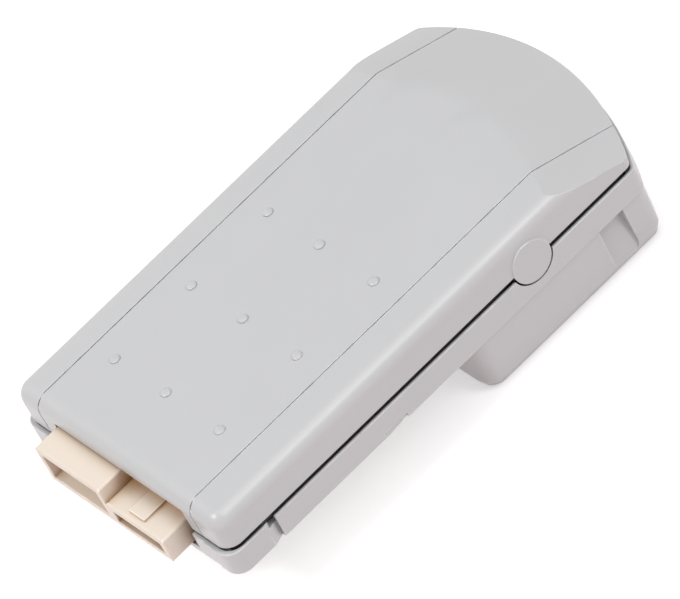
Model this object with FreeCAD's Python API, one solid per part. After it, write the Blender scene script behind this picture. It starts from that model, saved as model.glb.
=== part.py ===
"""Vibration pack for a game controller: a two-part case with a motor that swings an eccentric weight.

X runs across the case, Y along it from the connector end to the rounded end, Z up.
The origin is under the middle of the part, on the surface that the motor housing rests on.
All sizes are in millimetres.
"""
import FreeCAD, Part

import math
import os

from FreeCAD import Vector

# Case, outside
case_width = 47.0
case_length = 85.9
case_height = 23.4
end_arc_radius = 45.5
front_corner_radius = 2.8
end_corner_radius = 1.6
crown_radius = 168.0
shoulder_radius = 2.4
wall = 1.6
least_corner_radius = 0.7

# Sloped far end of the top
slope_length = 14.6
slope_angle = 18.4
slope_radius = 84.0

# Parting between the two shells, measured down from the crown of the top
upper_depth = 7.5
parting_gap = 0.75
skirt_inset = 0.3
lip_thickness = 0.9
lip_height = 1.1
lip_clearance = 0.15
rim_ledge = 0.45
rim_channel_depth = 1.4

# Slab and motor housing of the lower shell
slab_depth = 12.7
slab_front_reach = 0.3
slab_corner_radius = 2.5
slab_edge_chamfer = 0.25
hump_length = 40.9
hump_side_inset = 0.85
hump_end_inset = 0.3
hump_draft = 0.55
hump_corner_radius = 3.4
hump_end_corner_radius = 2.4
hump_edge_radius = 2.2
hump_edge_steps = 2

# Moulded marks on the top
groove_offset = 17.25
groove_width = 0.26
groove_depth = 0.22
groove_corner = 1.35
bump_diameter = 1.6
bump_top_diameter = 0.8
bump_height = 0.26
bump_sides = 18
bump_pitch_x = 11.9
bump_pitch_y = 15.1
bump_first_row = 12.0
bump_rows = 3
bump_columns = 3

# Round tabs at the sides
tab_diameter = 6.8
tab_from_end = 26.3
tab_drop = 7.4
tab_clearance = 0.3

# Marks on the lower shell
notch_position = 6.7
notch_length = 1.9
notch_depth = 0.9
notch_start_depth = 0.2
edge_recess_position = 28.3
edge_recess_length = 4.5
edge_recess_height = 1.0
edge_recess_depth = 0.7
edge_recess_start_depth = 0.1
pocket_from_end = 15.3
pocket_length = 4.7
pocket_depth = 2.2
pocket_floor = 0.9
pocket_corner_radius = 2.4
front_panel_depth = 0.15
front_panel_top_half = 17.5
front_panel_slant = 2.1

# Connector
connector_reach = 4.1
connector_half_width = 13.7
connector_split = 0.85
connector_bottom_drop = 10.8
socket_top_drop = 3.75
block_top_drop = 6.5
connector_inside = 6.5
socket_wall_side = 1.0
socket_wall_top = 1.0
socket_wall_bottom = 0.9
socket_depth = 6.5
slot_wall_side = 1.1
slot_roof = 1.1
slot_floor = 0.9
slot_depth = 5.5
connector_edge_radius = 0.35
key_start = 5.3
key_width = 3.5
key_height = 0.4
key_front_setback = 1.0
flange_margin = 1.4
flange_thickness = 1.6
opening_clearance = 0.3
opening_right_extra = 1.2
opening_sill_drop = 0.6
socket_contact_count = 6
slot_contact_count = 5
contact_width = 1.0
contact_thickness = 0.35
contact_setback = 1.2
contact_clearance = 0.02

# Circuit board
board_half_width = 13.6
board_length = 36.0
board_thickness = 1.2
board_lift = 2.0
board_behind_connector = 0.4
board_rib_offset = 11.5
board_rib_thickness = 1.2
contact_tail_reach = 1.6

# Parts on the board
chip_length = 8.7
chip_width = 7.5
chip_height = 2.2
chip_standoff = 0.15
chip_lead_count = 7
chip_lead_pitch = 1.27
chip_lead_width = 0.45
chip_lead_thickness = 0.2
chip_lead_reach = 1.4
transistor_size = (4.5, 2.6, 1.5)
diode_size = (4.4, 2.6, 2.1)
resonator_size = (5.6, 2.2, 3.8)
capacitor_diameter = 3.6
capacitor_foot = 4.0
capacitor_height = 4.6
capacitor_base_height = 0.8
resistor_size = (2.0, 1.25, 0.55)
chip_capacitor_size = (2.0, 1.25, 0.9)
small_part_count = 4
small_part_pitch = 2.6
chip_along = 13.0
power_along = 24.0
small_along = 29.5

# Motor
motor_from_end = 19.9
motor_axis_share = 0.44
motor_diameter = 20.1
motor_flat_height = 15.1
motor_can_wall = 0.8
drive_margin = 1.1
end_cap_thickness = 1.7
rotor_space_diameter = 12.6
bush_diameter = 5.0
bush_reach = 1.4
shaft_diameter = 2.0
running_clearance = 0.05
terminal_offset = 6.5
terminal_width = 2.4
terminal_thickness = 0.4
terminal_length = 1.7
terminal_clearance = 0.05

# Eccentric weight
weight_clearance = 0.7
weight_length = 9.0
weight_hub_radius = 3.2
weight_gap = 1.2
weight_half_angle = 88.0
shaft_end_margin = 0.6

# Motor cradle
cradle_thickness = 1.6
cradle_clearance = 0.1
cradle_height = 11.0
cradle_side = 2.2
cradle_inset = 3.5
hold_down_width = 9.0

# Motor leads
lead_diameter = 1.2
lead_sides = 6
lead_bend_radius = 1.6
lead_bend_steps = 2
lead_step = 3.0
lead_landing = 4.0
lead_spacing = 3.0

# Wells for the case screws in the underside of the slab
screw_offset_x = 17.0
screw_row = 14.0
screw_well_diameter = 4.8
screw_well_depth = 0.9

# Values worked out from the sizes above
half_width = case_width / 2
overall_length = case_length + connector_reach
front_y = connector_reach - overall_length / 2
end_y = overall_length / 2
slab_front_y = front_y - slab_front_reach
skirt_z = case_height - upper_depth
rim_z = skirt_z - parting_gap
slab_z = case_height - slab_depth
floor_z = slab_z + wall
board_z = floor_z + board_lift
board_top_z = board_z + board_thickness
board_front_y = front_y + connector_inside + board_behind_connector
board_end_y = board_front_y + board_length
connector_front_y = front_y - connector_reach
connector_back_y = front_y + connector_inside
connector_bottom_z = case_height - connector_bottom_drop
socket_top_z = case_height - socket_top_drop
block_top_z = case_height - block_top_drop
hump_front_y = end_y - hump_length
axis_y = end_y - motor_from_end
axis_z = case_height * motor_axis_share
drive_half = half_width - hump_side_inset - pocket_depth - wall - drive_margin
end_cap_x = terminal_length - drive_half
can_rear_x = end_cap_x + end_cap_thickness
weight_end_x = drive_half - shaft_end_margin
weight_start_x = weight_end_x - weight_length
motor_front_x = weight_start_x - weight_gap - bush_reach
weight_radius = axis_z - wall - weight_clearance
far_above = case_height * 3
tiny = 1e-6


def box(x0, x1, y0, y1, z0, z1):
    """Block between two corners."""
    return Part.makeBox(x1 - x0, y1 - y0, z1 - z0, Vector(x0, y0, z0))


def fuse_all(shapes):
    """One solid from several that touch or overlap."""
    result = shapes[0].multiFuse(shapes[1:]) if len(shapes) > 1 else shapes[0]
    return result.removeSplitter()


def edges_at(shape, z):
    """Edges that lie at a level."""
    return [e for e in shape.Edges if max(abs(e.BoundBox.ZMin - z), abs(e.BoundBox.ZMax - z)) < tiny]


def on_both_sides(shape):
    """The shape and its mirror image across the middle plane of the case."""
    return [shape, shape.mirror(Vector(0, 0, 0), Vector(1, 0, 0))]


def cylinder_x(radius, x0, x1, y=axis_y, z=axis_z):
    """Round bar along X."""
    return Part.makeCylinder(radius, x1 - x0, Vector(x0, y, z), Vector(1, 0, 0))


def cylinder_z(radius, x, y, z0, z1):
    """Round bar along Z."""
    return Part.makeCylinder(radius, z1 - z0, Vector(x, y, z0))


def arc_points(centre_x, centre_y, radius, start, end, z):
    """Arc in plan from one angle to another, in degrees."""
    spots = []
    for angle in (start, (start + end) / 2, end):
        turn = math.radians(angle)
        spots.append(Vector(centre_x + radius * math.cos(turn), centre_y + radius * math.sin(turn), z))
    return Part.Arc(*spots).toShape()


def plan_outline(half, front, end, end_radius, front_corner, end_corner, z):
    """Closed outline in plan: straight front and sides, rounded corners, far end an arc."""
    arc_y = end - end_radius
    near_x = half - front_corner
    far_x = half - end_corner
    far_y = arc_y + math.sqrt((end_radius - end_corner) ** 2 - far_x ** 2)
    meet = math.degrees(math.atan2(far_y - arc_y, far_x))
    corner_y = front + front_corner
    side_right = Part.LineSegment(Vector(half, corner_y, z), Vector(half, far_y, z)).toShape()
    side_left = Part.LineSegment(Vector(-half, far_y, z), Vector(-half, corner_y, z)).toShape()
    front_edge = Part.LineSegment(Vector(-near_x, front, z), Vector(near_x, front, z)).toShape()
    return Part.Wire([
        front_edge,
        arc_points(near_x, corner_y, front_corner, -90, 0, z),
        side_right,
        arc_points(far_x, far_y, end_corner, 0, meet, z),
        arc_points(0, arc_y, end_radius, meet, 180 - meet, z),
        arc_points(-far_x, far_y, end_corner, 180 - meet, 180, z),
        side_left,
        arc_points(-near_x, corner_y, front_corner, 180, 270, z),
    ])


def case_outline(inset, z):
    """Plan outline of the case, shrunk by an inset."""
    return plan_outline(
        half_width - inset, front_y + inset, end_y - inset, end_arc_radius - inset,
        max(front_corner_radius - inset, least_corner_radius),
        max(end_corner_radius - inset, least_corner_radius), z)


def case_prism(inset, z0, z1):
    """Upright block with the plan outline of the case."""
    return Part.Face(case_outline(inset, z0)).extrude(Vector(0, 0, z1 - z0))


def above_arc(radius):
    """Face in the XZ plane holding everything above an arc whose top is at the origin."""
    reach = case_width
    drop = radius - math.sqrt(radius ** 2 - reach ** 2)
    left = Vector(-reach, 0, -drop)
    right = Vector(reach, 0, -drop)
    top_left = Vector(-reach, 0, far_above)
    top_right = Vector(reach, 0, far_above)
    edges = [
        Part.Arc(left, Vector(0, 0, 0), right).toShape(),
        Part.LineSegment(right, top_right).toShape(),
        Part.LineSegment(top_right, top_left).toShape(),
        Part.LineSegment(top_left, left).toShape(),
    ]
    return Part.Face(Part.Wire(edges))


def above_crown(depth):
    """Space above the crowned top, lowered by a depth."""
    face = above_arc(crown_radius - depth)
    face.translate(Vector(0, front_y - wall, case_height - depth))
    return face.extrude(Vector(0, case_length + 2 * wall, 0))


def above_slope(depth):
    """Space above the sloped far end, lowered by a depth square to the slope."""
    turn = math.radians(slope_angle)
    along = Vector(0, math.cos(turn), -math.sin(turn))
    outward = Vector(0, math.sin(turn), math.cos(turn))
    run = case_length / 2
    face = above_arc(slope_radius - depth)
    face.rotate(Vector(0, 0, 0), Vector(1, 0, 0), -slope_angle)
    face.translate(Vector(0, end_y - slope_length, case_height) - outward * depth - along * run)
    return face.extrude(along * (2 * run))


def top_block(inset, depth, lowest_z):
    """The solid under the top surface with sharp edges, its sides and top moved inward, down to a level."""
    body = case_prism(inset, lowest_z, case_height + wall)
    return body.cut(above_crown(depth)).cut(above_slope(depth))


def long_block(inset, z0, z1):
    """Block with the front corners and sides of the case, running straight on past its far end."""
    body = box(inset - half_width, half_width - inset, front_y + inset, end_y + wall / 2, z0, z1)
    near_y = front_y + inset + tiny
    upright = [e for e in body.Edges if e.BoundBox.ZLength > tiny and e.BoundBox.YMax < near_y]
    return body.makeFillet(front_corner_radius - inset, upright)


def top_form(inset, lowest_z):
    """The solid under the top surface with its rounded shoulders, its sides moved inward, down to a level."""
    body = long_block(inset, lowest_z, case_height + wall).cut(above_crown(0))
    round_faces = [f for f in body.Faces if isinstance(f.Surface, Part.Cylinder)]
    crown = max(round_faces, key=lambda f: f.Surface.Radius)
    shoulders = [e for e in crown.Edges if e.BoundBox.YMin < end_y]
    body = body.makeFillet(shoulder_radius, shoulders)
    return body.common(case_prism(inset, lowest_z, case_height)).cut(above_slope(0))


def ring_points(radius, x, y, z, sides):
    """Closed loop of corner points of a regular polygon in plan."""
    turns = [2 * math.pi * i / sides for i in range(sides + 1)]
    return [Vector(x + radius * math.cos(t), y + radius * math.sin(t), z) for t in turns]


def bumps():
    """Low bumps on the top, with many narrow sloped sides."""
    solids = []
    slope = (bump_diameter - bump_top_diameter) / 2 / bump_height
    for row in range(bump_rows):
        y = front_y + bump_first_row + row * bump_pitch_y
        for column in range(bump_columns):
            x = (column - (bump_columns - 1) / 2) * bump_pitch_x
            surface_z = case_height - crown_radius + math.sqrt(crown_radius ** 2 - x ** 2)
            root_radius = bump_diameter / 2 + slope * bump_height
            root = ring_points(root_radius, x, y, surface_z - bump_height, bump_sides)
            top = ring_points(bump_top_diameter / 2, x, y, surface_z + bump_height, bump_sides)
            solids.append(Part.makeLoft([Part.makePolygon(root), Part.makePolygon(top)], True, True))
    return solids


def grooves(outer):
    """Thin ribbons just under the surface, where the two lengthwise grooves are cut."""
    inset = skirt_inset + groove_depth
    core = case_prism(inset, skirt_z, case_height + wall).cut(above_crown(groove_depth))
    front_top = [e for e in core.Edges if e.BoundBox.YMax < front_y + inset + tiny
                 and e.BoundBox.XLength > case_width / 2 and e.BoundBox.ZMin > skirt_z + tiny]
    core = core.makeChamfer(groove_corner, front_top).cut(above_slope(groove_depth))
    x0 = groove_offset - groove_width / 2
    blade = box(x0, x0 + groove_width, front_y - wall, end_y + wall, skirt_z, far_above)
    return [side.common(outer).cut(core) for side in on_both_sides(blade)]


def tab(radius, x0, x1):
    """Round tab at the right side, on the parting line."""
    return cylinder_x(radius, x0, x1, end_y - tab_from_end, case_height - tab_drop)


def connector_opening(z0, z1):
    """Space in the front walls for the connector."""
    return box(-connector_half_width - opening_clearance, connector_half_width + opening_right_extra,
               front_y - wall, front_y + 2 * wall, z0, z1)


def screw_places():
    """Plan positions of the case screws."""
    return [(side * screw_offset_x, front_y + screw_row) for side in (-1, 1)]


def motor_profile(grow, x0, x1):
    """Flat-sided round bar along X, the outer form of the motor."""
    bar = cylinder_x(motor_diameter / 2 + grow, x0, x1)
    half_flat = motor_flat_height / 2 + grow
    return bar.common(box(x0, x1, axis_y - motor_diameter, axis_y + motor_diameter,
                          axis_z - half_flat, axis_z + half_flat))


def cradle_places():
    """Where along the motor the ribs that hold it stand."""
    return [can_rear_x + cradle_inset, motor_front_x - cradle_inset]


def upper_shell():
    """Top cover with its grooves, bumps, tabs and motor hold-downs."""
    outer = top_form(skirt_inset, skirt_z)
    shell = outer.cut(top_block(skirt_inset + wall, wall, skirt_z - wall))
    inside = top_block(skirt_inset + wall / 2, wall / 2, slab_z)
    extras = []
    for x in cradle_places():
        rib = box(x - cradle_thickness / 2, x + cradle_thickness / 2, axis_y - hold_down_width / 2,
                  axis_y + hold_down_width / 2, axis_z + motor_flat_height / 2, case_height)
        extras.append(rib.common(inside))
    extras += bumps()
    extras += on_both_sides(tab(tab_diameter / 2, half_width - wall, half_width))
    shell = fuse_all([shell] + extras)
    cuts = grooves(outer)
    cuts.append(connector_opening(skirt_z - wall, socket_top_z + opening_clearance))
    return shell.cut(Part.makeCompound(cuts))


def hump_outline(inset, z):
    """Plan outline of the motor housing."""
    side = hump_side_inset + inset
    end = hump_end_inset + inset
    return plan_outline(
        half_width - side, hump_front_y + inset, end_y - end, end_arc_radius - end,
        max(hump_corner_radius - inset, least_corner_radius),
        max(hump_end_corner_radius - inset, least_corner_radius), z)


def hump_form():
    """Motor housing with drafted walls and lower edges rounded in bands."""
    top_z = slab_z + wall / 2
    levels = [(0, top_z)]
    for step in range(hump_edge_steps + 1):
        turn = math.pi / 2 * step / hump_edge_steps
        z = hump_edge_radius * (1 - math.sin(turn))
        levels.append((hump_draft * (1 - z / top_z) + hump_edge_radius * (1 - math.cos(turn)), z))
    return Part.makeLoft([hump_outline(inset, z) for inset, z in levels], True, True)


def hump_hollow():
    """Space for the motor inside its housing."""
    face = Part.Face(hump_outline(wall + hump_draft, wall))
    return face.extrude(Vector(0, 0, floor_z))


def slab_form():
    """Flat part of the lower shell, with its lower edges broken."""
    outline = plan_outline(half_width, slab_front_y, end_y, end_arc_radius, slab_corner_radius,
                           end_corner_radius, slab_z)
    body = Part.Face(outline).extrude(Vector(0, 0, rim_z - slab_z))
    return body.makeChamfer(slab_edge_chamfer, edges_at(body, slab_z))


def pocket(grow):
    """Finger scoop in the right side of the motor housing, deepest at its top, grown by a wall thickness."""
    side_x = half_width - hump_side_inset
    outside_x = half_width + wall
    y0 = end_y - pocket_from_end - grow
    y1 = y0 + pocket_length + 2 * grow
    low_z = pocket_floor - grow
    section = [
        Vector(side_x - pocket_depth - grow, y0, slab_z),
        Vector(outside_x, y0, slab_z),
        Vector(outside_x, y0, low_z),
        Vector(side_x - hump_draft - grow, y0, low_z),
    ]
    body = Part.Face(Part.makePolygon(section + section[:1])).extrude(Vector(0, y1 - y0, 0))
    far_low = [e for e in body.Edges if e.BoundBox.YMin > y1 - tiny and e.BoundBox.ZMax < low_z + tiny]
    return body.makeFillet(pocket_corner_radius + grow, far_low)


def ramp_cut(start_y, length, start_depth, depth, z0, z1):
    """Catch in the right flank that deepens from its near end to a step at its far end."""
    end = start_y + length
    corners = [
        Vector(half_width - start_depth, start_y, z0),
        Vector(half_width - depth, end, z0),
        Vector(half_width + wall, end, z0),
        Vector(half_width + wall, start_y, z0),
    ]
    return Part.Face(Part.makePolygon(corners + corners[:1])).extrude(Vector(0, 0, z1 - z0))


def rim_channel():
    """Channel behind the outer ledge of the rim, which makes the parting gap deep."""
    z0 = rim_z - rim_channel_depth
    return case_prism(rim_ledge, z0, rim_z + wall).cut(case_prism(wall, z0 - wall, far_above))


def front_panel():
    """Shallow trapezoid set back in the front wall, round the connector."""
    low = slab_z - wall
    spread = front_panel_slant * (rim_z - low) / (rim_z - slab_z)
    corners = [
        Vector(-front_panel_top_half, slab_front_y - wall, rim_z),
        Vector(front_panel_top_half, slab_front_y - wall, rim_z),
        Vector(front_panel_top_half + spread, slab_front_y - wall, low),
        Vector(-front_panel_top_half - spread, slab_front_y - wall, low),
    ]
    face = Part.Face(Part.makePolygon(corners + corners[:1]))
    return face.extrude(Vector(0, wall + front_panel_depth, 0))


def lower_lip():
    """Thin wall that rises inside the upper shell and closes the parting gap."""
    gap = skirt_inset + wall + lip_clearance
    ring = case_prism(gap, floor_z, rim_z + lip_height)
    ring = ring.cut(case_prism(gap + lip_thickness, slab_z, far_above))
    flange_half = connector_half_width + flange_margin + opening_clearance
    return ring.cut(box(-flange_half, flange_half, front_y, front_y + connector_inside, slab_z, far_above))


def motor_cradle():
    """Two ribs with a seat of the motor's own outline."""
    ribs = []
    x0 = end_cap_x - wall
    x1 = motor_front_x + wall
    half = motor_diameter / 2 + cradle_clearance
    seat = motor_profile(cradle_clearance, x0, x1)
    seat = seat.cut(box(x0, x1, axis_y - half, axis_y + half, 0, axis_z - motor_flat_height / 2))
    above = box(x0, x1, axis_y - half, axis_y + half, axis_z, far_above)
    reach = motor_diameter / 2 + cradle_side
    for x in cradle_places():
        rib = box(x - cradle_thickness / 2, x + cradle_thickness / 2, axis_y - reach, axis_y + reach,
                  wall / 2, cradle_height)
        ribs.append(rib.cut(seat).cut(above))
    return ribs


def lower_shell():
    """Bottom cover: slab, motor housing, lip, board ribs and motor cradle."""
    outer = fuse_all([slab_form(), hump_form()])
    hollow = case_prism(wall, floor_z, rim_z + wall).fuse(hump_hollow())
    shell = outer.cut(hollow).cut(rim_channel())
    inside = outer.common(box(-half_width, half_width, front_y, end_y, 0, rim_z))
    extras = [lower_lip()]
    extras += [liner.common(inside) for liner in on_both_sides(pocket(wall))]
    extras += motor_cradle()
    rib = box(board_rib_offset - board_rib_thickness / 2, board_rib_offset + board_rib_thickness / 2,
              board_front_y, min(board_end_y, hump_front_y), floor_z - wall / 2, board_z)
    extras += on_both_sides(rib)
    shell = fuse_all([shell] + extras)
    cuts = [front_panel(), connector_opening(connector_bottom_z - opening_sill_drop, far_above)]
    cuts += on_both_sides(pocket(0))
    tab_room_x = half_width - 2 * wall - lip_thickness
    cuts += on_both_sides(tab(tab_diameter / 2 + tab_clearance, tab_room_x, half_width + wall))
    cuts += on_both_sides(ramp_cut(front_y + notch_position, notch_length, notch_start_depth, notch_depth,
                                   slab_z - wall, rim_z + wall))
    cuts += on_both_sides(ramp_cut(front_y + edge_recess_position, edge_recess_length,
                                   edge_recess_start_depth, edge_recess_depth,
                                   slab_z - wall, slab_z + edge_recess_height))
    for x, y in screw_places():
        cuts.append(cylinder_z(screw_well_diameter / 2, x, y, slab_z - wall, slab_z + screw_well_depth))
    return shell.cut(Part.makeCompound(cuts))


def connector_housing():
    """Ivory plug: a tall box with an open socket beside a low block with a slot and a raised key."""
    left = -connector_half_width
    right = connector_half_width
    tall = box(left, connector_split, connector_front_y, connector_back_y, connector_bottom_z, socket_top_z)
    low = box(connector_split, right, connector_front_y, connector_back_y, connector_bottom_z, block_top_z)
    tall = round_front(tall)
    low = round_front(low)
    key = box(key_start, key_start + key_width, connector_front_y + key_front_setback, connector_back_y,
              block_top_z - key_height, block_top_z + key_height)
    flange_y = front_y + wall + opening_clearance
    flange = box(left - flange_margin, right, flange_y, flange_y + flange_thickness,
                 connector_bottom_z, socket_top_z)
    body = fuse_all([tall, low, key, flange])
    socket = box(left + socket_wall_side, connector_split - socket_wall_side, connector_front_y,
                 connector_front_y + socket_depth, connector_bottom_z + socket_wall_bottom,
                 socket_top_z - socket_wall_top)
    slot = box(connector_split + slot_wall_side, right - slot_wall_side, connector_front_y,
               connector_front_y + slot_depth, connector_bottom_z + slot_floor, block_top_z - slot_roof)
    body = body.cut(socket).cut(slot)
    return body.cut(Part.makeCompound([row_slot(socket_blades()), row_slot(slot_blades())]))


def round_front(block):
    """Soft edges on the part of a connector block that shows outside the case."""
    chosen = []
    for edge in block.Edges:
        b = edge.BoundBox
        lengthwise = b.YLength > connector_reach and b.ZMin > connector_bottom_z
        front_top = b.XLength > 1 and b.YMax < front_y and b.ZMin > connector_bottom_z
        if lengthwise or front_top:
            chosen.append(edge)
    return block.makeFillet(connector_edge_radius, chosen)


def blade(x, z, back_y):
    """Straight contact blade along Y."""
    return box(x - contact_width / 2, x + contact_width / 2, connector_front_y + contact_setback, back_y,
               z, z + contact_thickness)


def contact_places(x0, x1, count):
    """Even spacing of contacts between two walls."""
    pitch = (x1 - x0) / count
    return [x0 + (i + 0.5) * pitch for i in range(count)]


def socket_xs():
    """Positions of the contacts in the tall box."""
    return contact_places(-connector_half_width + socket_wall_side, connector_split - socket_wall_side,
                          socket_contact_count)


def slot_xs():
    """Positions of the contacts in the low block."""
    return contact_places(connector_split + slot_wall_side, connector_half_width - slot_wall_side,
                          slot_contact_count)


def socket_blades():
    """Straight parts of the contacts under the roof of the socket."""
    z = socket_top_z - socket_wall_top - contact_thickness
    return [blade(x, z, connector_back_y + board_behind_connector + contact_tail_reach) for x in socket_xs()]


def slot_blades():
    """Straight contacts over the board's top face, along the slot."""
    return [blade(x, board_top_z, connector_back_y + board_behind_connector + contact_tail_reach)
            for x in slot_xs()]


def row_slot(blades):
    """Slot through the connector's back wall for a row of contacts."""
    b = Part.makeCompound(blades).BoundBox
    return box(b.XMin - contact_clearance, b.XMax + contact_clearance, b.YMin, b.YMax,
               b.ZMin - contact_clearance, b.ZMax + contact_clearance)


def socket_contacts():
    """Contacts of the socket, bent down to the board behind the connector."""
    solids = []
    tail_y = connector_back_y + board_behind_connector + contact_tail_reach
    for x, straight in zip(socket_xs(), socket_blades()):
        leg = box(x - contact_width / 2, x + contact_width / 2, tail_y - contact_thickness, tail_y,
                  board_top_z, straight.BoundBox.ZMax)
        solids.append(fuse_all([straight, leg]))
    return Part.makeCompound(solids)


def slot_contacts():
    """Contacts of the slot."""
    return Part.makeCompound(slot_blades())


def circuit_board():
    """Board that lies on the two ribs of the lower shell."""
    return box(-board_half_width, board_half_width, board_front_y, board_end_y, board_z, board_top_z)


def on_board(size, x, along):
    """Block of a given size standing on the board, at a distance from the board's front edge."""
    length, width, height = size
    y = board_front_y + along
    return box(x - length / 2, x + length / 2, y - width / 2, y + width / 2,
               board_top_z, board_top_z + height)



def controller_chip():
    """Moulded body of the control chip, just clear of the board."""
    body = on_board((chip_length, chip_width, chip_height), 0, chip_along)
    low = box(-case_width, case_width, front_y, end_y, board_top_z, board_top_z + chip_standoff)
    return body.cut(low)


def controller_leads():
    """Gull-wing leads along the two long sides of the control chip."""
    solids = []
    y_chip = board_front_y + chip_along
    shoulder_z = board_top_z + chip_height / 2
    for side in (-1, 1):
        y_side = y_chip + side * chip_width / 2
        y_foot = y_side + side * chip_lead_reach
        y_bend = y_side + side * chip_lead_reach / 2
        for i in range(chip_lead_count):
            x = (i - (chip_lead_count - 1) / 2) * chip_lead_pitch
            x0 = x - chip_lead_width / 2
            x1 = x + chip_lead_width / 2
            bend0, bend1 = sorted((y_bend, y_bend + side * chip_lead_thickness))
            arm0, arm1 = sorted((y_side, bend1 if side > 0 else bend0))
            foot0, foot1 = sorted((bend0 if side > 0 else bend1, y_foot))
            arm = box(x0, x1, arm0, arm1, shoulder_z, shoulder_z + chip_lead_thickness)
            drop = box(x0, x1, bend0, bend1, board_top_z, shoulder_z + chip_lead_thickness)
            foot = box(x0, x1, foot0, foot1, board_top_z, board_top_z + chip_lead_thickness)
            solids.append(fuse_all([arm, drop, foot]))
    return Part.makeCompound(solids)


def electrolytic_capacitor():
    """Can on a square plastic foot."""
    x = board_half_width / 2
    y = board_front_y + power_along
    foot = on_board((capacitor_foot, capacitor_foot, capacitor_base_height), x, power_along)
    can = cylinder_z(capacitor_diameter / 2, x, y, board_top_z + capacitor_base_height / 2,
                     board_top_z + capacitor_height)
    return fuse_all([foot, can])


def small_parts(size, along):
    """Row of small blocks across the board."""
    middle = (small_part_count - 1) / 2
    xs = [(i - middle) * small_part_pitch for i in range(small_part_count)]
    return Part.makeCompound([on_board(size, x, along) for x in xs])


def motor_can():
    """Flat-sided steel can with its magnets, round inside for the rotor, closed at the weight's end."""
    can = motor_profile(0, can_rear_x, motor_front_x)
    can = can.cut(cylinder_x(rotor_space_diameter / 2, can_rear_x, motor_front_x - motor_can_wall))
    return can.cut(cylinder_x(bush_diameter / 2, can_rear_x, motor_front_x))


def motor_bush():
    """Plain bearing in the closed end of the can."""
    x0 = motor_front_x - motor_can_wall
    x1 = motor_front_x + bush_reach
    bore = cylinder_x(shaft_diameter / 2 + running_clearance, x0, x1)
    return cylinder_x(bush_diameter / 2, x0, x1).cut(bore)


def motor_end_cap():
    """Plastic cap that closes the can, carries the terminals and the rear end of the shaft."""
    plate = motor_profile(0, end_cap_x, can_rear_x)
    hole = cylinder_x(shaft_diameter / 2 + running_clearance, end_cap_x, can_rear_x)
    return plate.cut(Part.makeCompound([hole] + terminal_blades(terminal_clearance)))


def terminal_blades(grow):
    """Flat tags through the end cap, one on each side of the rear boss."""
    tags = []
    for side in (-1, 1):
        y = axis_y + side * terminal_offset
        tags.append(box(end_cap_x - terminal_length, can_rear_x,
                        y - terminal_thickness / 2 - grow, y + terminal_thickness / 2 + grow,
                        axis_z - terminal_width / 2 - grow, axis_z + terminal_width / 2 + grow))
    return tags


def motor_terminals():
    """Brass tags that the leads are soldered to."""
    return Part.makeCompound(terminal_blades(0))


def motor_shaft():
    """Steel shaft from the end cap to the end of the weight."""
    return cylinder_x(shaft_diameter / 2, end_cap_x, weight_end_x + shaft_end_margin)


def eccentric_weight():
    """Half-round weight pressed on the shaft, with a round hub."""
    disc = cylinder_x(weight_radius, weight_start_x, weight_end_x)
    spread = weight_radius / math.tan(math.radians(weight_half_angle))
    low = box(weight_start_x, weight_end_x, axis_y - weight_radius, axis_y + weight_radius,
              axis_z - weight_radius, axis_z - spread)
    hub = cylinder_x(weight_hub_radius, weight_start_x, weight_end_x)
    return fuse_all([disc.common(low), hub]).cut(cylinder_x(shaft_diameter / 2, weight_start_x, weight_end_x))


def motor_lead(side):
    """Wire from a motor terminal forward past the end cap, then up to the board. The far one runs higher."""
    x = end_cap_x - terminal_length + lead_diameter / 2
    start_y = axis_y + side * (terminal_offset + terminal_thickness / 2 + lead_diameter / 2)
    run_z = axis_z + (lead_step if side > 0 else 0)
    turn_y = axis_y - motor_diameter / 2 - lead_bend_radius
    land_x = -board_half_width + lead_landing + side * lead_spacing / 2
    land_y = board_end_y - lead_landing
    high_z = board_top_z + lead_bend_radius + lead_diameter
    points = [Vector(x, start_y, axis_z)]
    if run_z > axis_z:
        points.append(Vector(x, start_y, run_z))
    points += [Vector(x, turn_y, run_z), Vector(land_x, land_y, high_z), Vector(land_x, land_y, board_top_z)]
    return many_sided_wire(eased_corners(points, lead_bend_radius), lead_diameter / 2)


def eased_corners(points, bend):
    """Path whose corners are replaced by short steps round an arc."""
    path = [points[0]]
    for before, corner, after in zip(points, points[1:], points[2:]):
        into = (corner - before).normalize()
        out = (after - corner).normalize()
        turn = into.getAngle(out)
        inward = (out - into).normalize()
        centre = corner + inward * (bend / math.cos(turn / 2))
        forward = (into + out).normalize()
        for step in range(lead_bend_steps + 1):
            angle = turn * (step / lead_bend_steps - 0.5)
            path.append(centre + (forward * math.sin(angle) - inward * math.cos(angle)) * bend)
    path.append(points[-1])
    return path


def many_sided_wire(path, radius):
    """Wire along a path of straight runs, mitred where they meet."""
    runs = [(b - a).normalize() for a, b in zip(path, path[1:])]
    across = runs[0].cross(Vector(1, 0, 0)).normalize()
    beside = runs[0].cross(across)
    turns = [2 * math.pi * i / lead_sides for i in range(lead_sides)]
    ring = [path[0] + (across * math.cos(t) + beside * math.sin(t)) * radius for t in turns]
    faces = [Part.Face(Part.makePolygon(ring + ring[:1]))]
    for i, run in enumerate(runs):
        mitre = run + runs[i + 1] if i + 1 < len(runs) else run
        following = [p + run * ((path[i + 1] - p).dot(mitre) / run.dot(mitre)) for p in ring]
        for a in range(lead_sides):
            b = (a + 1) % lead_sides
            faces.append(Part.Face(Part.makePolygon([ring[a], ring[b], following[b], following[a], ring[a]])))
        ring = following
    faces.append(Part.Face(Part.makePolygon(ring + ring[:1])))
    wire = Part.makeSolid(Part.makeShell(faces))
    wire.fix(tiny, tiny, tiny)
    return wire


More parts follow.
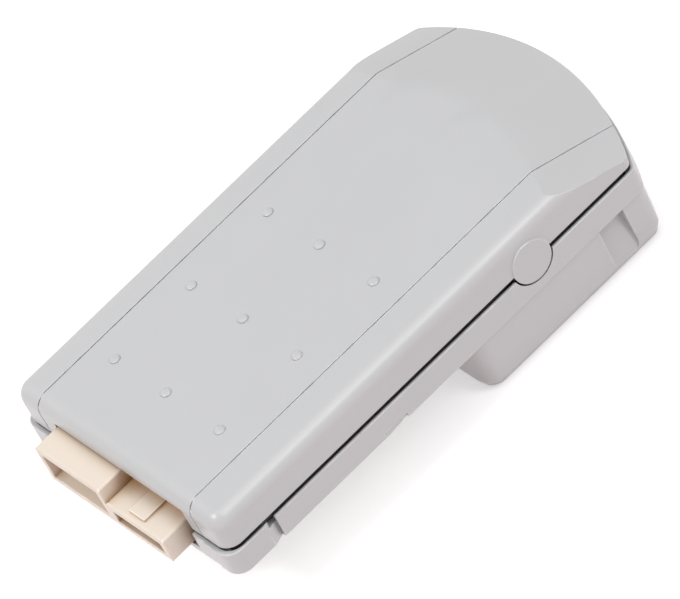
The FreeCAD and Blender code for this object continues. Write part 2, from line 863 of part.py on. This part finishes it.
def all_pieces():
    """Every piece by its node name."""
    return {
        "upper_shell": upper_shell(),
        "lower_shell": lower_shell(),
        "connector_housing": connector_housing(),
        "socket_contacts": socket_contacts(),
        "slot_contacts": slot_contacts(),
        "circuit_board": circuit_board(),
        "controller_chip": controller_chip(),
        "controller_leads": controller_leads(),
        "driver_transistor": on_board(transistor_size, -board_half_width / 2, power_along),
        "flyback_diode": on_board(diode_size, -board_half_width / 2, small_along),
        "resonator": on_board(resonator_size, 0, power_along),
        "electrolytic_capacitor": electrolytic_capacitor(),
        "chip_resistors": small_parts(resistor_size, chip_along - chip_width),
        "chip_capacitors": small_parts(chip_capacitor_size, chip_along + chip_width),
        "motor_can": motor_can(),
        "motor_end_cap": motor_end_cap(),
        "motor_terminals": motor_terminals(),
        "motor_bush": motor_bush(),
        "motor_shaft": motor_shaft(),
        "eccentric_weight": eccentric_weight(),
        "motor_lead_red": motor_lead(1),
        "motor_lead_black": motor_lead(-1),
    }


os.makedirs("parts", exist_ok=True)
for name, shape in all_pieces().items():
    shape.exportStep("parts/" + name + ".step")
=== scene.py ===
"""A rumble pack for a game controller, dressed for a studio picture.

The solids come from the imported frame. This script gives them their materials, adds the small moulded and
turned details that sit on them, and lights them on a pale floor from the angle of the photograph.
"""
import math

import bmesh
import bpy
from mathutils import Matrix, Vector


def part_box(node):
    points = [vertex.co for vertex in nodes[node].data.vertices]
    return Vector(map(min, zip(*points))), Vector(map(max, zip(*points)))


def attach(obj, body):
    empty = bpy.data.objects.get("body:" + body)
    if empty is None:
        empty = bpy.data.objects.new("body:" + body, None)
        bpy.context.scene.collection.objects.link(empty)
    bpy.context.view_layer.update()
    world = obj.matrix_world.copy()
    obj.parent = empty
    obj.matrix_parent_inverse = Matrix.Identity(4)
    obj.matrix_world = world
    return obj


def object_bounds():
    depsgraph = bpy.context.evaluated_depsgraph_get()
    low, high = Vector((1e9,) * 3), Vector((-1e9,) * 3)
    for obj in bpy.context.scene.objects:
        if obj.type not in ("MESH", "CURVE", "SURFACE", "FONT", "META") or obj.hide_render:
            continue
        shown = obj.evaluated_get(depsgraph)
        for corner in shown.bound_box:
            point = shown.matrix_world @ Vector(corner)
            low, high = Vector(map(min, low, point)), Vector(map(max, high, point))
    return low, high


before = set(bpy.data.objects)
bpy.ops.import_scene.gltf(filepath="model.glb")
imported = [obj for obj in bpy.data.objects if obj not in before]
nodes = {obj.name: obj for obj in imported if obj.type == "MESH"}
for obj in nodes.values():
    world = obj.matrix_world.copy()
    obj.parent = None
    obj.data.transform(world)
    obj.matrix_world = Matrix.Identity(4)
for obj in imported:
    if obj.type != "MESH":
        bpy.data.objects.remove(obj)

cad_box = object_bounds()
MM = 0.001


# Sizes of the added details and of the places where they sit, in metres

far_end_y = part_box("lower_shell")[1].y

button_pitch_x = 11.9 * MM
button_pitch_y = 15.1 * MM
button_row_from_end = 73.9 * MM
button_rows = 3
button_columns = (-1, 0, 1)
button_radius = 0.83 * MM
button_flat_radius = 0.1 * MM
button_height = 0.4 * MM
button_wall = 0.08 * MM
button_root_depth = 0.2 * MM
button_segments = 40
button_edge_steps = 6
bump_height = 0.26 * MM
crown_radius = 168.0 * MM

crease_from_end = 14.6 * MM
crease_band = 8.0 * MM
crease_half_width = 20.0 * MM
crease_fade = 2.0 * MM
crease_rounding = 4.0 * MM
groove_x = 17.25 * MM
groove_reach = 0.5 * MM

screw_x = 17.0 * MM
screw_from_end = 71.9 * MM
screw_well_floor_z = 11.6 * MM
screw_head_radius = 2.05 * MM
screw_head_height = 0.75 * MM
screw_rim_height = 0.25 * MM
screw_flat_radius = 1.15 * MM
screw_cross_length = 2.3 * MM
screw_cross_width = 0.62 * MM
screw_cross_depth = 0.5 * MM
screw_cross_taper = 0.7
screw_segments = 48
screw_crown_steps = 6
screw_sharp_angle = math.radians(40)


# Finish of each kind of material. A tint is a share of the brightness, a cover how much of a layer shows.

noise_middle = (0.3, 0.7)
edge_dots = (0.995, 0.9)
# The painted shade in gaps and corners is full where the open room falls to this share of its limit
full_shade_share = 1 / 3
speck_core = 0.6
speck_cut = 0.001
crease_samples = 8
crevice_samples = 8
plastic_edge_samples = 6
small_edge_samples = 4

plastic_cloud_size = 14 * MM
plastic_cloud_tints = (0.988, 1.01)
# Edges of the plastic: lighter partly from rubbed wear and partly from a painted highlight, and polished by
# the wear
plastic_wear_and_highlight_size = 2.5 * MM
plastic_wear_and_highlight_range = (0.2, 0.55)
plastic_wear_and_highlight_tint = 1.6
plastic_wear_polish = 0.06
# How strongly the painted shade darkens the gaps and corners
plastic_shade_cover = 0.9
plastic_speck_spacing = 5 * MM
plastic_speck_radius = 0.12 * MM
plastic_speck_cover = 0.5
plastic_gloss_size = 6 * MM
plastic_gloss_spread = 0.02
plastic_grain_strength = 0.12
plastic_grain_depth = 0.02 * MM
plastic_ior = 1.57

metal_rounding = 0.06 * MM
metal_streak_size = 0.3 * MM
metal_streak_strength = 0.15
metal_streak_depth = 0.01 * MM
metal_patch_size = 5 * MM
metal_patch_range = (0.3, 0.75)
metal_patch_tint = 0.84
metal_edge_cover = 0.5
metal_edge_tint = 1.2
metal_gloss_offsets = (-0.06, 0.12)

resin_rounding = 0.08 * MM
resin_cloud_size = 1.5 * MM
resin_cloud_tints = (0.85, 1.1)
resin_edge_cover = 0.4
resin_edge_tint = 1.5
resin_gloss_size = 0.8 * MM
resin_gloss_offsets = (-0.06, 0.08)
resin_grain_strength = 0.2
resin_grain_depth = 0.02 * MM

track_pitch = 1.1 * MM
track_edges = (0.2, 0.26)
track_strength = 0.3
track_depth = 0.03 * MM
track_field_size = 9 * MM
track_field_edges = (0.4, 0.42)
jog_size = 5 * MM
jog_step = 0.1
jog_lanes = 5.0
hole_spacing = 2.6 * MM
hole_radius = 0.3 * MM
hole_share = 0.3
board_cloud_size = 3 * MM
board_cloud_tints = (0.9, 1.1)
board_gloss = (0.28, 0.4)


# Shader nodes

def add(tree, kind, inputs=None, **settings):
    """One shader node. Each input is a plain value or the output socket that feeds it."""
    node = tree.nodes.new("ShaderNode" + kind)
    for key, value in settings.items():
        setattr(node, key, value)
    for key, value in (inputs or {}).items():
        if isinstance(value, bpy.types.NodeSocket):
            tree.links.new(value, node.inputs[key])
        else:
            node.inputs[key].default_value = value
    return node


def new_material(name):
    """An empty node material and its tree."""
    material = bpy.data.materials.new(name)
    material.use_nodes = True
    material.node_tree.nodes.clear()
    return material, material.node_tree


def finish_material(tree, inputs):
    """The surface shader with these inputs, joined to the output."""
    shader = add(tree, "BsdfPrincipled", inputs)
    add(tree, "OutputMaterial", {"Surface": shader.outputs["BSDF"]})


def object_place(tree):
    """Coordinates in the object's own frame, in metres."""
    return add(tree, "TexCoord").outputs["Object"]


def noise(tree, place, size, detail=2.0):
    """Noise whose features are about this large."""
    inputs = {"Vector": place, "Scale": 1 / size, "Detail": detail}
    return add(tree, "TexNoise", inputs).outputs["Fac"]


def ramp(tree, value, start, end, low=0.0, high=1.0):
    """A clamped straight ramp from low at start to high at end."""
    inputs = {"Value": value, "From Min": start, "From Max": end, "To Min": low, "To Max": high}
    return add(tree, "MapRange", inputs).outputs["Result"]


def maths(tree, operation, a, b):
    """One sum on two values."""
    return add(tree, "Math", {0: a, 1: b}, operation=operation).outputs[0]


def times(tree, a, b):
    """The product of two values."""
    return maths(tree, "MULTIPLY", a, b)


def distance(tree, value, mark):
    """How far a value is from a mark."""
    offset = maths(tree, "SUBTRACT", value, mark)
    return add(tree, "Math", {0: offset}, operation="ABSOLUTE").outputs[0]


def blend(tree, factor, a, b):
    """Colour a at factor 0, colour b at factor 1."""
    inputs = {0: factor, 6: a, 7: b}
    return add(tree, "Mix", inputs, data_type="RGBA").outputs[2]


def opaque(colour):
    """A colour with full alpha."""
    return colour + (1.0,)


def tint(colour, share):
    """A colour with its brightness changed by this share."""
    return opaque(tuple(channel * share for channel in colour))


def soft_edges(tree, rounding, samples):
    """The normal of the surface as if its edges were rounded by this radius."""
    return add(tree, "Bevel", {"Radius": rounding}, samples=samples).outputs["Normal"]


def bumped(tree, height, strength, depth, **normal):
    """The normal after a relief of this height, over the plain surface or over a given Normal."""
    inputs = {"Height": height, **normal, "Strength": strength, "Distance": depth}
    return add(tree, "Bump", inputs).outputs["Normal"]


def clouded(tree, value, colour, tints):
    """A colour that drifts between two tints with a noise."""
    low, high = tints
    return blend(tree, ramp(tree, value, *noise_middle), tint(colour, low), tint(colour, high))


def edge_mask(tree, rounded):
    """1 along the edges of a solid and 0 on its open faces."""
    flat = add(tree, "NewGeometry").outputs["Normal"]
    dot = add(tree, "VectorMath", {0: flat, 1: rounded}, operation="DOT_PRODUCT").outputs["Value"]
    return ramp(tree, dot, *edge_dots)


def crease_softened(tree, place, rounded):
    """The normal with a wide rounding where the top of the shell folds down to its sloped end."""
    wide = soft_edges(tree, crease_rounding, crease_samples)
    axes = add(tree, "SeparateXYZ", {"Vector": place}).outputs
    across = distance(tree, axes["X"], 0.0)
    along = distance(tree, axes["Y"], far_end_y - crease_from_end)
    beside = times(tree, ramp(tree, across, crease_half_width, crease_half_width - crease_fade),
                   ramp(tree, distance(tree, across, groove_x), groove_reach / 2, groove_reach))
    near = times(tree, beside, ramp(tree, along, crease_band, crease_band - crease_fade))
    return add(tree, "Mix", {0: near, 4: rounded, 5: wide}, data_type="VECTOR").outputs[1]


def crevice_shade_mask(tree, reach, unshaded_share):
    """A mask for painted shade: 1 deep in gaps and corners, where shade falls, and 0 where more than the
    given share of the room is open.
    """
    open_share = add(tree, "AmbientOcclusion", {"Distance": reach}, samples=crevice_samples).outputs["AO"]
    return ramp(tree, open_share, unshaded_share, unshaded_share * full_shade_share)


def speck_mask(tree, place, spacing, radius, share):
    """Small round specks, on this share of the cells of a loose grid."""
    inputs = {"Vector": place, "Scale": 1 / spacing, "Randomness": 1.0}
    cells = add(tree, "TexVoronoi", inputs, feature="F1")
    dots = ramp(tree, cells.outputs["Distance"], radius / spacing, speck_core * radius / spacing)
    pick = add(tree, "SeparateColor", {"Color": cells.outputs["Color"]}).outputs["Red"]
    kept = ramp(tree, pick, 1 - share, 1 - share + speck_cut)
    return times(tree, dots, kept)


def moulded_plastic(name, colour, grain, rounding, roughness, shade_and_speck_colour, shade_reach, unshaded_share, specks,
                    soft_crease=False):
    """Matt injection-moulded plastic: spark-eroded grain, soft edges, faint clouding, edges lighter from wear
    and from a painted highlight, painted shade in the gaps and dark specks.
    """
    material, tree = new_material(name)
    place = object_place(tree)
    rounded = soft_edges(tree, rounding, plastic_edge_samples)
    shade = clouded(tree, noise(tree, place, plastic_cloud_size, 4.0), colour, plastic_cloud_tints)
    rubbed_and_lit = ramp(tree, noise(tree, place, plastic_wear_and_highlight_size), *plastic_wear_and_highlight_range)
    # Edges lightened partly by rubbed wear and partly by a painted highlight where the edges catch the light
    worn_and_highlit = times(tree, edge_mask(tree, rounded), rubbed_and_lit)
    shade = blend(tree, worn_and_highlit, shade, tint(colour, plastic_wear_and_highlight_tint))
    # Painted shade: darker deep in the gaps and corners, where shade falls
    painted_shade = crevice_shade_mask(tree, shade_reach, unshaded_share)
    shade = blend(tree, times(tree, painted_shade, plastic_shade_cover), shade, opaque(shade_and_speck_colour))
    dots = speck_mask(tree, place, plastic_speck_spacing, plastic_speck_radius, specks)
    shade = blend(tree, times(tree, dots, plastic_speck_cover), shade, opaque(shade_and_speck_colour))
    gloss = ramp(tree, noise(tree, place, plastic_gloss_size, 5.0), *noise_middle,
                 roughness - plastic_gloss_spread, roughness + plastic_gloss_spread)
    gloss = maths(tree, "SUBTRACT", gloss, times(tree, worn_and_highlit, plastic_wear_polish))
    facing = crease_softened(tree, place, rounded) if soft_crease else rounded
    bump = bumped(tree, noise(tree, place, grain), plastic_grain_strength, plastic_grain_depth, Normal=facing)
    finish_material(tree, {"Base Color": shade, "Roughness": gloss, "Normal": bump, "IOR": plastic_ior})
    return material


def drawn_metal(name, colour, roughness, streak):
    """Sheet or turned metal: fine streaks, patches of duller tarnish, brighter edges."""
    material, tree = new_material(name)
    place = object_place(tree)
    rounded = soft_edges(tree, metal_rounding, small_edge_samples)
    stretched = add(tree, "VectorMath", {0: place, 1: streak}, operation="MULTIPLY").outputs["Vector"]
    streaks = noise(tree, stretched, metal_streak_size, 3.0)
    dulled = ramp(tree, noise(tree, place, metal_patch_size, 4.0), *metal_patch_range)
    shade = blend(tree, dulled, opaque(colour), tint(colour, metal_patch_tint))
    bright = times(tree, edge_mask(tree, rounded), metal_edge_cover)
    shade = blend(tree, bright, shade, tint(colour, metal_edge_tint))
    low, high = metal_gloss_offsets
    gloss = ramp(tree, streaks, *noise_middle, roughness + low, roughness + high)
    bump = bumped(tree, streaks, metal_streak_strength, metal_streak_depth, Normal=rounded)
    finish_material(tree, {"Base Color": shade, "Metallic": 1.0, "Roughness": gloss, "Normal": bump})
    return material


def plain_resin(name, colour, roughness, grain):
    """Small dark or bright moulded parts, ceramic and wire covering: fine grain and faint clouding."""
    material, tree = new_material(name)
    place = object_place(tree)
    rounded = soft_edges(tree, resin_rounding, small_edge_samples)
    shade = clouded(tree, noise(tree, place, resin_cloud_size, 3.0), colour, resin_cloud_tints)
    bright = times(tree, edge_mask(tree, rounded), resin_edge_cover)
    shade = blend(tree, bright, shade, tint(colour, resin_edge_tint))
    low, high = resin_gloss_offsets
    gloss = ramp(tree, noise(tree, place, resin_gloss_size), *noise_middle, roughness + low, roughness + high)
    bump = bumped(tree, noise(tree, place, grain), resin_grain_strength, resin_grain_depth, Normal=rounded)
    finish_material(tree, {"Base Color": shade, "Roughness": gloss, "Normal": bump})
    return material


def circuit_laminate(name, mask_colour, track_colour, plate_colour):
    """Green lacquer over copper: paler tracks that jog from lane to lane, and small plated holes."""
    material, tree = new_material(name)
    place = object_place(tree)
    axes = add(tree, "SeparateXYZ", {"Vector": place}).outputs
    length_only = add(tree, "CombineXYZ", {"Y": axes["Y"]}).outputs["Vector"]
    jog = maths(tree, "SNAP", noise(tree, length_only, jog_size, 0.0), jog_step)
    lanes = maths(tree, "ADD", times(tree, axes["X"], 1 / track_pitch), times(tree, jog, jog_lanes))
    across = maths(tree, "PINGPONG", lanes, 0.5)
    field = ramp(tree, noise(tree, place, track_field_size), *track_field_edges)
    lines = times(tree, ramp(tree, across, *track_edges), field)
    holes = speck_mask(tree, place, hole_spacing, hole_radius, hole_share)
    clouds = noise(tree, place, board_cloud_size)
    shade = clouded(tree, clouds, mask_colour, board_cloud_tints)
    shade = blend(tree, lines, shade, opaque(track_colour))
    shade = blend(tree, holes, shade, opaque(plate_colour))
    bump = bumped(tree, lines, track_strength, track_depth)
    gloss = ramp(tree, clouds, *noise_middle, *board_gloss)
    finish_material(tree, {"Base Color": shade, "Metallic": holes, "Roughness": gloss, "Normal": bump})
    return material


# Materials by the record's slot

shell_grey = (0.615, 0.617, 0.626)
ivory = (0.88, 0.775, 0.665)
# Near black for the painted shade in the shell's gaps and corners and for its specks of dirt
shade_and_speck_grey = (0.035, 0.033, 0.03)
amber_shade = (0.36, 0.17, 0.025)
gold_plate = (0.85, 0.63, 0.29)
lacquer_green = (0.02, 0.14, 0.06)
track_green = (0.05, 0.24, 0.1)
tin_plate = (0.6, 0.6, 0.58)
tinned_grey = (0.75, 0.76, 0.77)
epoxy_black = (0.025, 0.025, 0.028)
ceramic_tan = (0.52, 0.38, 0.22)
aluminium = (0.72, 0.73, 0.75)
zinc_grey = (0.62, 0.61, 0.58)
pale_nylon = (0.68, 0.67, 0.62)
bronze = (0.72, 0.52, 0.27)
ground_steel = (0.7, 0.7, 0.7)
sintered_grey = (0.48, 0.46, 0.42)
cover_red = (0.45, 0.02, 0.015)
cover_black = (0.02, 0.02, 0.02)

no_streak = (1.0, 1.0, 1.0)
along_y = (1.0, 0.05, 1.0)
along_x = (0.05, 1.0, 1.0)

# The shell plastic's look: its dark colour is painted shade in the gaps and the colour of its specks
shell_look = {"colour": shell_grey, "grain": 0.22 * MM, "roughness": 0.31, "shade_and_speck_colour": shade_and_speck_grey}

# Each plastic gets painted shade in its gaps and corners, out to the given reach and where less than the
# given share of the room is open; the connector's is amber
materials = {
    "shell_plastic": moulded_plastic(
        "shell_plastic", **shell_look, rounding=0.2 * MM, shade_reach=1.5 * MM, unshaded_share=0.36,
        specks=0.02, soft_crease=True),
    "connector_plastic": moulded_plastic(
        "connector_plastic", ivory, grain=0.42 * MM, rounding=0.36 * MM, roughness=0.42,
        shade_and_speck_colour=amber_shade, shade_reach=4.0 * MM, unshaded_share=0.84, specks=0.03),
    "contact_metal": drawn_metal("contact_metal", gold_plate, roughness=0.3, streak=along_y),
    "board": circuit_laminate("board", lacquer_green, track_green, tin_plate),
    "chip_body": plain_resin("chip_body", epoxy_black, roughness=0.5, grain=0.1 * MM),
    "tinned_metal": drawn_metal("tinned_metal", tinned_grey, roughness=0.32, streak=no_streak),
    "ceramic": plain_resin("ceramic", ceramic_tan, roughness=0.45, grain=0.08 * MM),
    "capacitor_metal": drawn_metal("capacitor_metal", aluminium, roughness=0.3, streak=no_streak),
    "motor_steel": drawn_metal("motor_steel", zinc_grey, roughness=0.34, streak=along_x),
    "cap_plastic": plain_resin("cap_plastic", pale_nylon, roughness=0.48, grain=0.12 * MM),
    "bush_metal": drawn_metal("bush_metal", bronze, roughness=0.4, streak=no_streak),
    "shaft_steel": drawn_metal("shaft_steel", ground_steel, roughness=0.24, streak=along_x),
    "weight_metal": drawn_metal("weight_metal", sintered_grey, roughness=0.42, streak=no_streak),
    "wire_red": plain_resin("wire_red", cover_red, roughness=0.42, grain=0.15 * MM),
    "wire_black": plain_resin("wire_black", cover_black, roughness=0.42, grain=0.15 * MM),
}
for node in nodes.values():
    slot_name = node.data.materials[0].name
    node.data.materials[0] = materials[slot_name]

# Two more finishes of the shell's slot: softer edges and more painted shade in the recesses for the lower
# shell, and a ring of painted shade round the feet of the buttons
shaded_lower_shell = moulded_plastic(
    "shell_plastic_shaded_lower", **shell_look, rounding=0.32 * MM, shade_reach=2.5 * MM, unshaded_share=0.55,
    specks=0.02)
button_shell = moulded_plastic(
    "shell_plastic_buttons", **shell_look, rounding=0.05 * MM, shade_reach=0.8 * MM, unshaded_share=0.8,
    specks=0.0)
nodes["lower_shell"].data.materials[0] = shaded_lower_shell


# Added details

def loose_object(name, mesh):
    """An object from a bmesh, in the scene but riding on nothing yet."""
    bmesh.ops.recalc_face_normals(mesh, faces=mesh.faces)
    data = bpy.data.meshes.new(name)
    mesh.to_mesh(data)
    mesh.free()
    piece = bpy.data.objects.new(name, data)
    bpy.context.scene.collection.objects.link(piece)
    return piece


def turned(mesh, profile, segments, matrix):
    """Adds a turned form: a profile of (radius, height) that starts and ends on the axis, spun about Z."""
    angles = [2 * math.pi * i / segments for i in range(segments)]
    rings = []
    for radius, height in profile:
        if radius == 0:
            rings.append([mesh.verts.new(matrix @ Vector((0, 0, height)))] * segments)
            continue
        points = [Vector((radius * math.cos(a), radius * math.sin(a), height)) for a in angles]
        rings.append([mesh.verts.new(matrix @ point) for point in points])
    for lower, upper in zip(rings, rings[1:]):
        for i in range(segments):
            j = (i + 1) % segments
            corners = [lower[i], lower[j], upper[j], upper[i]]
            mesh.faces.new(list(dict.fromkeys(corners))).smooth = True


def rounded_edge(flat_radius, radius, low, high, steps):
    """Profile points of a quarter-round edge, from its foot up to the flat top."""
    points = []
    for k in range(steps + 1):
        turn = math.pi / 2 * k / steps
        out = flat_radius + (radius - flat_radius) * math.cos(turn)
        points.append((out, low + (high - low) * math.sin(turn)))
    return points


def dress(piece, material):
    """Gives a new piece a material and fixes it to the case."""
    piece.data.materials.clear()
    piece.data.materials.append(material)
    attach(piece, "case")


def grip_buttons():
    """The low round buttons on the top, smooth where the solid's bumps have narrow flats."""
    mesh = bmesh.new()
    profile = [(0, -button_root_depth), (button_radius, -button_root_depth)]
    profile += rounded_edge(button_flat_radius, button_radius, button_wall, button_height, button_edge_steps)
    profile.append((0, button_height))
    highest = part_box("upper_shell")[1].z - bump_height
    for row in range(button_rows):
        y = far_end_y - button_row_from_end + row * button_pitch_y
        for column in button_columns:
            x = column * button_pitch_x
            tilt = math.asin(x / crown_radius)
            surface = highest - crown_radius * (1 - math.cos(tilt))
            place = Matrix.Translation((x, y, surface)) @ Matrix.Rotation(tilt, 4, "Y")
            turned(mesh, profile, button_segments, place)
    dress(loose_object("grip_buttons", mesh), button_shell)


def cross_prism(length, width, low, high, taper, matrix):
    """A driver tip with a cross section, that narrows by the taper from high to low."""
    mesh = bmesh.new()
    arm = [(length / 2, -width / 2), (length / 2, width / 2), (width / 2, width / 2)]
    outline = [Matrix.Rotation(k * math.pi / 2, 2) @ Vector(point) for k in range(4) for point in arm]
    rings = []
    for height, share in ((low, taper), (high, 1.0)):
        points = [Vector((share * point.x, share * point.y, height)) for point in outline]
        rings.append([mesh.verts.new(matrix @ point) for point in points])
    for ring in rings:
        mesh.faces.new(ring)
    for i in range(len(outline)):
        j = (i + 1) % len(outline)
        mesh.faces.new((rings[0][i], rings[0][j], rings[1][j], rings[1][i]))
    return mesh


def case_screw(name, x, y):
    """A pan-head screw in its well in the underside, with the cross recess cut into the head."""
    place = Matrix.Translation((x, y, screw_well_floor_z)) @ Matrix.Rotation(math.pi, 4, "X")
    profile = [(0, 0.0), (screw_head_radius, 0.0)]
    profile += rounded_edge(screw_flat_radius, screw_head_radius, screw_rim_height, screw_head_height,
                            screw_crown_steps)
    profile.append((0, screw_head_height))
    head = bmesh.new()
    turned(head, profile, screw_segments, place)
    screw = loose_object(name, head)
    recess_floor = screw_head_height - screw_cross_depth
    recess_mesh = cross_prism(screw_cross_length, screw_cross_width, recess_floor,
                              screw_head_height + screw_cross_depth, screw_cross_taper, place)
    recess = loose_object(name + "_recess", recess_mesh)
    cut = screw.modifiers.new("recess", "BOOLEAN")
    cut.object = recess
    cut.operation = "DIFFERENCE"
    cut.solver = "EXACT"
    whole = screw.data
    evaluated = screw.evaluated_get(bpy.context.evaluated_depsgraph_get())
    screw.data = bpy.data.meshes.new_from_object(evaluated)
    screw.data.set_sharp_from_angle(angle=screw_sharp_angle)
    screw.modifiers.clear()
    bpy.data.meshes.remove(whole)
    bpy.data.meshes.remove(recess.data)
    dress(screw, materials["shaft_steel"])


grip_buttons()
screw_y = far_end_y - screw_from_end
case_screw("case_screw_left", -screw_x, screw_y)
case_screw("case_screw_right", screw_x, screw_y)


# Floor, light and camera, in metres, watts and degrees

white = (1.0, 1.0, 1.0, 1.0)
floor_half_side = 4.0
floor_cells = 8
floor_bounce = (0.89, 0.785, 0.79, 1.0)
floor_paper = (0.80, 0.785, 0.785, 1.0)
floor_roughness = 0.9
floor_lift = 0.5
room_light = 0.375

soft_boxes = {
    "key": {"place": (0.68, 0.34, 1.23), "width": 0.5, "height": 1.8, "power": 6.4},
    "edge": {"place": (0.845, 0.463, 1.07), "width": 0.4, "height": 0.4, "power": 2.0},
    "front": {"place": (-0.06, -0.83, 1.18), "width": 0.35, "height": 0.35, "power": 7.6},
    "left": {"place": (-1.45, -0.25, 0.62), "width": 1.4, "height": 0.9, "power": 1.4},
}

camera_azimuth = 70.90
camera_elevation = 44.41
camera_lean = 30.36
camera_aim = Vector((-0.38, -0.01, 12.36)) * MM
camera_distance = 1777.24 * MM
camera_sensor_mm = 36.0
camera_lens_mm = 677.65


def seen_directly(tree):
    """1 for what the camera sees, also in a gloss or through glass, and 0 for the light on the object."""
    path = add(tree, "LightPath").outputs
    seen = path["Is Camera Ray"]
    for kind in ("Is Glossy Ray", "Is Transmission Ray"):
        seen = maths(tree, "MAXIMUM", seen, path[kind])
    return seen


def pale_floor():
    """A white floor that fades to the white of the room and keeps the shadow, with a slightly warm bounce."""
    mesh = bmesh.new()
    bmesh.ops.create_grid(mesh, x_segments=floor_cells, y_segments=floor_cells, size=floor_half_side)
    data = bpy.data.meshes.new("floor")
    mesh.to_mesh(data)
    mesh.free()
    floor = bpy.data.objects.new("floor", data)
    bpy.context.scene.collection.objects.link(floor)
    material, tree = new_material("floor_paper")
    seen = seen_directly(tree)
    lift = times(tree, seen, floor_lift)
    paper = blend(tree, seen, floor_bounce, floor_paper)
    inputs = {"Base Color": paper, "Roughness": floor_roughness, "Specular IOR Level": 0.0,
              "Emission Color": white, "Emission Strength": lift}
    finish_material(tree, inputs)
    data.materials.append(material)


def studio_world(strength):
    """Even white room light, and plain white where the camera or a gloss looks past the floor."""
    world = bpy.data.worlds.new("room")
    bpy.context.scene.world = world
    world.use_nodes = True
    tree = world.node_tree
    tree.nodes.clear()
    level = ramp(tree, seen_directly(tree), 0.0, 1.0, strength, 1.0)
    back = add(tree, "Background", {"Color": white, "Strength": level})
    add(tree, "OutputWorld", {"Surface": back.outputs["Background"]})


def soft_box(name, place, width, height, power):
    """A flat lamp aimed at the middle of the object, its height in the upright plane through its aim."""
    data = bpy.data.lights.new(name, "AREA")
    data.shape = "RECTANGLE"
    data.size = width
    data.size_y = height
    data.energy = power
    lamp = bpy.data.objects.new(name, data)
    bpy.context.scene.collection.objects.link(lamp)
    lamp.location = place
    aim = (cad_box[0] + cad_box[1]) / 2
    lamp.rotation_euler = (aim - lamp.location).to_track_quat("-Z", "Y").to_euler()


def photo_camera():
    """The camera at the photograph's angle, leaning over to one side as the photographer held it."""
    azimuth, elevation, lean = (math.radians(a) for a in (camera_azimuth, camera_elevation, camera_lean))
    back = Vector((math.sin(azimuth) * math.cos(elevation), -math.cos(azimuth) * math.cos(elevation),
                   math.sin(elevation)))
    level = Vector((math.cos(azimuth), math.sin(azimuth), 0))
    upright = back.cross(level)
    up = upright * math.cos(lean) + level * math.sin(lean)
    right = up.cross(back)
    data = bpy.data.cameras.new("photo_camera")
    data.sensor_width = camera_sensor_mm
    data.lens = camera_lens_mm
    camera = bpy.data.objects.new("photo_camera", data)
    bpy.context.scene.collection.objects.link(camera)
    turn = Matrix((right, up, back)).transposed().to_4x4()
    camera.matrix_world = Matrix.Translation(camera_aim + back * camera_distance) @ turn
    bpy.context.scene.camera = camera


pale_floor()
studio_world(room_light)
for lamp_name, lamp_values in soft_boxes.items():
    soft_box(lamp_name, **lamp_values)
photo_camera()
bpy.context.scene.view_settings.view_transform = "Standard"
